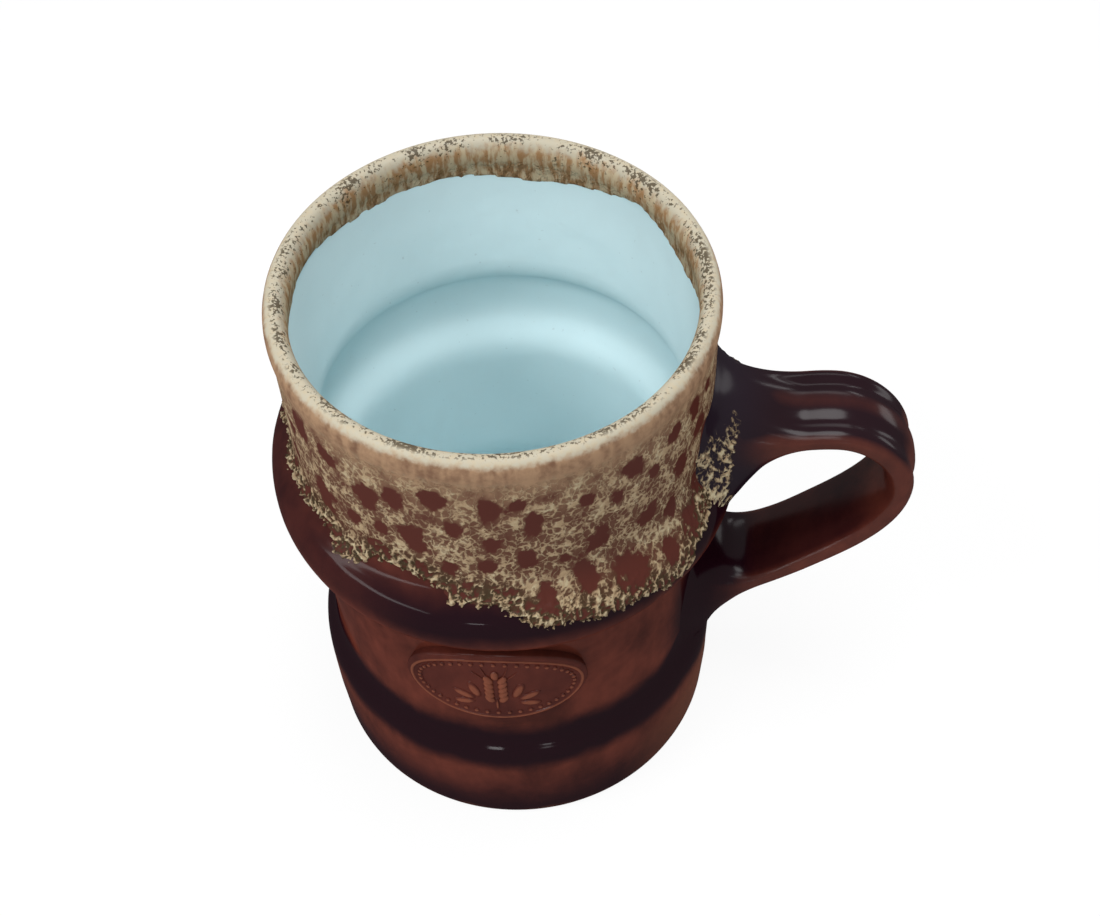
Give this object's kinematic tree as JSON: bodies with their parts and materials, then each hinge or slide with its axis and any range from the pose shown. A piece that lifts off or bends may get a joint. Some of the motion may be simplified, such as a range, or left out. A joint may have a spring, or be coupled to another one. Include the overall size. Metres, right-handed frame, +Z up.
{
  "type": "ceramic beer mug",
  "caption": "Glazed ceramic beer mug with a swelling band, a stepped base, a strap handle, an oval plaque and a frothy drip glaze over the rim.",
  "frame": {"origin": "on the mug's axis, where the flat base rests on a table", "axes": "+Z up the mug's axis, +X towards the handle, -Y towards the oval plaque"},
  "size_m": [0.1375, 0.0994, 0.137],
  "materials": {
    "brown_glazed_clay": "gloss",
    "brown_glazed_handle": "gloss",
    "brown_glazed_plaque": "gloss",
    "white_liner": "gloss",
    "cream_froth": "satin"
  },
  "bodies": {
    "root": {"mug_body": "brown_glazed_clay", "handle": "brown_glazed_handle", "plaque": "brown_glazed_plaque", "liner_glaze": "white_liner", "froth_glaze": "cream_froth"}
  },
  "joints": []
}
